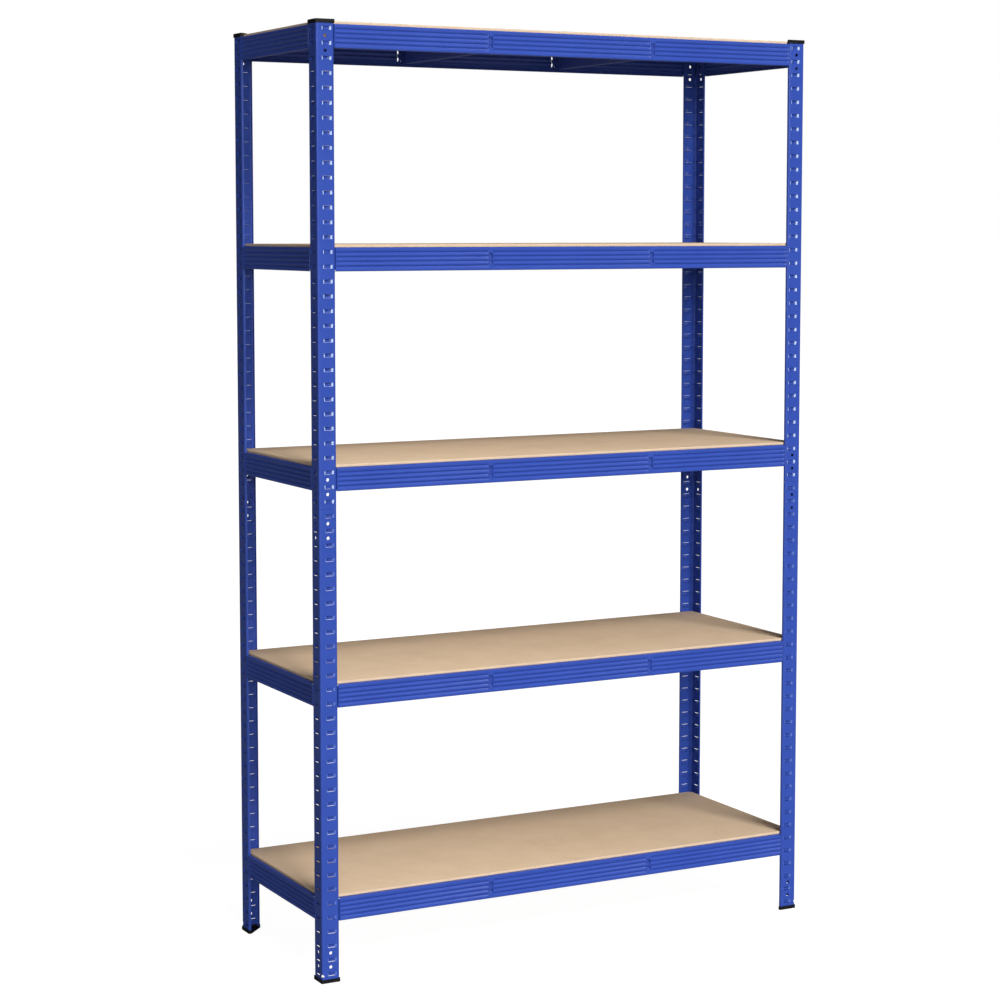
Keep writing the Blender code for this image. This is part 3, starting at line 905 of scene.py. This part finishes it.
# %% Cap sizes
FIT = 0.3 * MM
CAP_PLATE = 3.1 * MM
CAP_BAND = 8 * MM
CAP_WALL = 0.9 * MM
CAP_ROUND = 1.2 * MM
CAP_SKIRT = 36 * MM
CAP_CUT = 6 * MM
CAP_SET_BACK = 0.1 * MM
CAP_EASE = 0.3 * MM


# %% A closed outline with a thickness
def outline_plate(name, loop, low, high):
    """A plate between two heights over a closed outline."""
    work = bmesh.new()
    face = work.faces.new([work.verts.new((*point, low)) for point in loop])
    raised = bmesh.ops.extrude_face_region(work, geom=[face])["geom"]
    tops = [item for item in raised if isinstance(item, bmesh.types.BMVert)]
    bmesh.ops.translate(work, verts=tops, vec=(0, 0, high - low))
    return scratch_object(name, work)


# %% The wall of a cap
def wall_object(name, corners, radii, low, high):
    """An upright wall along a bent line."""
    work = bmesh.new()
    line = rounded(corners, radii)
    grid_surface(work, line, [low, high], lambda point, level: (*point, level), lambda *cell: False)
    obj = scratch_object(name, work)
    thicken(obj, CAP_WALL)
    obj.hide_render = True
    return obj


# %% A whole cap
def cap_mesh():
    out = CAP_WALL + FIT
    far = FLANGE + out
    inner = LIP_DEPTH + FIT
    loop = [(-out, -out), (far, -out), (far, inner), (inner, far), (-out, far)]
    closed = rounded([loop[-1], *loop, loop[0]], [CAP_ROUND] * len(loop))[1:-1]
    obj = outline_plate("cap", closed, FIT, FIT + CAP_PLATE)
    middle = FIT + CAP_WALL / 2
    low = FIT + CAP_PLATE - CAP_BAND
    high = FIT + CAP_PLATE / 2
    leg = [(FLANGE + middle, inner - CAP_SET_BACK), (FLANGE + middle, -middle)]
    band = leg + [(-middle, -middle)] + [(y, x) for x, y in reversed(leg)]
    skirt_depth = POST_SHEET + middle
    skirt = [(CAP_SKIRT, skirt_depth), (CAP_CUT, skirt_depth)]
    skirt += [(y, x) for x, y in reversed(skirt)]
    bend = CAP_ROUND - CAP_WALL / 2
    walls = [
        wall_object("cap_band", band, [bend, bend, bend], low, high),
        wall_object("cap_skirt", skirt, [CAP_ROUND, CAP_ROUND], low, high),
    ]
    for wall in walls:
        join = obj.modifiers.new(wall.name, "BOOLEAN")
        join.operation = "UNION"
        join.object = wall
    ease = obj.modifiers.new("moulded_edges", "BEVEL")
    ease.width = CAP_EASE
    ease.segments = 2
    ease.limit_method = "ANGLE"
    ease.angle_limit = math.radians(50)
    return baked(obj, [cap_plastic], walls)


# %% Set the caps and feet down
cap = cap_mesh()
TURN_OVER = Matrix.Rotation(math.radians(90), 4, "Z") @ Matrix.Rotation(math.pi, 4, "X")
for corner, (across, along, turn) in CORNERS.items():
    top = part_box(f"post_upper_{corner}")[1].z
    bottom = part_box(f"post_lower_{corner}")[0].z
    set_down(f"cap_{corner}", cap, frame_at(across, along, turn, top))
    set_down(f"foot_{corner}", cap, frame_at(across, along, turn, bottom) @ TURN_OVER)

# %% [markdown]
# ## Boards
# A shelf is one fibreboard panel that lies loose on the ledges and crossbars, with its corners
# sawn off to clear the posts. Its arrises are only lightly sanded, so the bevel is small. The faces
# and the sawn edges show different stuff, so the mesh carries two materials.

# %% Board sizes
board_low, board_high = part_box("board_1")
BOARD_CORNER = 6 * MM
BOARD_ARRIS = 0.5 * MM


# %% One board
def board_mesh():
    x, y = board_high.x, board_high.y
    cut = BOARD_CORNER
    right = [(x - cut, -y), (x, cut - y), (x, y - cut), (x - cut, y)]
    loop = right + [(-a, -b) for a, b in right]
    obj = outline_plate("board", loop, 0.0, board_high.z - board_low.z)
    ease = obj.modifiers.new("arris", "BEVEL")
    ease.width = BOARD_ARRIS
    ease.segments = 2
    ease.limit_method = "ANGLE"
    ease.angle_limit = math.radians(60)
    mesh = baked(obj, [board_face, board_edge])
    for polygon in mesh.polygons:
        polygon.material_index = 0 if abs(polygon.normal.z) > 0.9 else 1
    return mesh


# %% Set the five boards down
board = board_mesh()
for tier in TIERS:
    set_down(f"board_{tier}", board, Matrix.Translation((0, 0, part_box(f"board_{tier}")[0].z)))

# %% [markdown]
# ## Floor and light
# The rack stands on a pale floor in a white room. A high soft light comes from the front at 40
# degrees, low enough to reach the back of every board. A low one from the left of the front
# reaches the rear posts, which the boards hide from the first. The sides stay deep blue. The floor
# glows towards the camera, so it stays pale to the horizon with only faint shadows, and it sends a
# little light up to the undersides and the inner faces. The room hardly shows in the gloss.

# %% The floor
FLOOR_GLOW = 0.96
FLOOR_BOUNCE = 0.2
work = bmesh.new()
bmesh.ops.create_grid(work, x_segments=1, y_segments=1, size=40)
floor = scratch_object("floor", work)
floor_finish = bpy.data.materials.new("pale_floor")
floor_finish.use_nodes = True
floor_tree = floor_finish.node_tree
floor_shader = floor_tree.nodes["Principled BSDF"]
floor_shader.inputs["Base Color"].default_value = (0.18, 0.18, 0.18, 1)
floor_shader.inputs["Roughness"].default_value = 0.9
floor_shader.inputs["Specular IOR Level"].default_value = 0.1
floor_shader.inputs["Emission Color"].default_value = (1, 1, 1, 1)
rays = floor_tree.nodes.new("ShaderNodeLightPath").outputs
to_eye = maths(floor_tree, "MULTIPLY", rays["Is Camera Ray"], FLOOR_GLOW)
to_paint = maths(floor_tree, "MULTIPLY", rays["Is Diffuse Ray"], FLOOR_BOUNCE)
glow = maths(floor_tree, "ADD", to_eye, to_paint)
floor_tree.links.new(glow, floor_shader.inputs["Emission Strength"])
floor.data.materials.append(floor_finish)

# %% The room's light
ROOM_LIGHT = 0.14
MIRROR_LIGHT = 0.03
world = bpy.data.worlds.new("white_room")
bpy.context.scene.world = world
world.use_nodes = True
room = world.node_tree
background = room.nodes["Background"]
background.inputs["Color"].default_value = (1, 1, 1, 1)
path = room.nodes.new("ShaderNodeLightPath")
to_mirror = maths(room, "MULTIPLY", path.outputs["Is Glossy Ray"], MIRROR_LIGHT - ROOM_LIGHT)
to_camera = maths(room, "MULTIPLY", path.outputs["Is Camera Ray"], 1.0 - ROOM_LIGHT)
strength = maths(room, "ADD", maths(room, "ADD", to_mirror, to_camera), ROOM_LIGHT)
room.links.new(strength, background.inputs["Strength"])


# %% Two soft lights
def soft_sun(name, side, rise, energy, spread_angle):
    """A light from far away: its angles to the right of the front and above the floor, in degrees."""
    lamp = bpy.data.lights.new(name, "SUN")
    lamp.energy = energy
    lamp.angle = math.radians(spread_angle)
    obj = bpy.data.objects.new(name, lamp)
    bpy.context.scene.collection.objects.link(obj)
    side, rise = math.radians(side), math.radians(rise)
    towards = Vector((math.sin(side), -math.cos(side), math.tan(rise)))
    obj.rotation_mode = "QUATERNION"
    obj.rotation_quaternion = towards.to_track_quat("Z", "Y")


soft_sun("high_key", 4, 40, 2.75, 24)
soft_sun("low_fill", -14, 4, 1.75, 34)
bpy.context.scene.view_settings.view_transform = "Standard"

# %% [markdown]
# ## Camera
# The view is that of a catalogue picture: from the left of the front, with a long lens, at about
# eye height. The lens looks slightly down, and a small shift puts the rack in the frame.

# %% The camera
camera_data = bpy.data.cameras.new("catalogue_view")
camera_data.sensor_width = 36
camera_data.lens = 85.65
camera_data.shift_y = -0.0612
camera = bpy.data.objects.new("catalogue_view", camera_data)
bpy.context.scene.collection.objects.link(camera)
CAMERA_PLACE = Vector((-2.562, -4.689, 1.572))
CAMERA_YAW = math.radians(28.09)
CAMERA_PITCH = math.radians(5.0)
camera.location = CAMERA_PLACE
camera.rotation_euler = (math.pi / 2 - CAMERA_PITCH, 0, -CAMERA_YAW)
bpy.context.scene.camera = camera
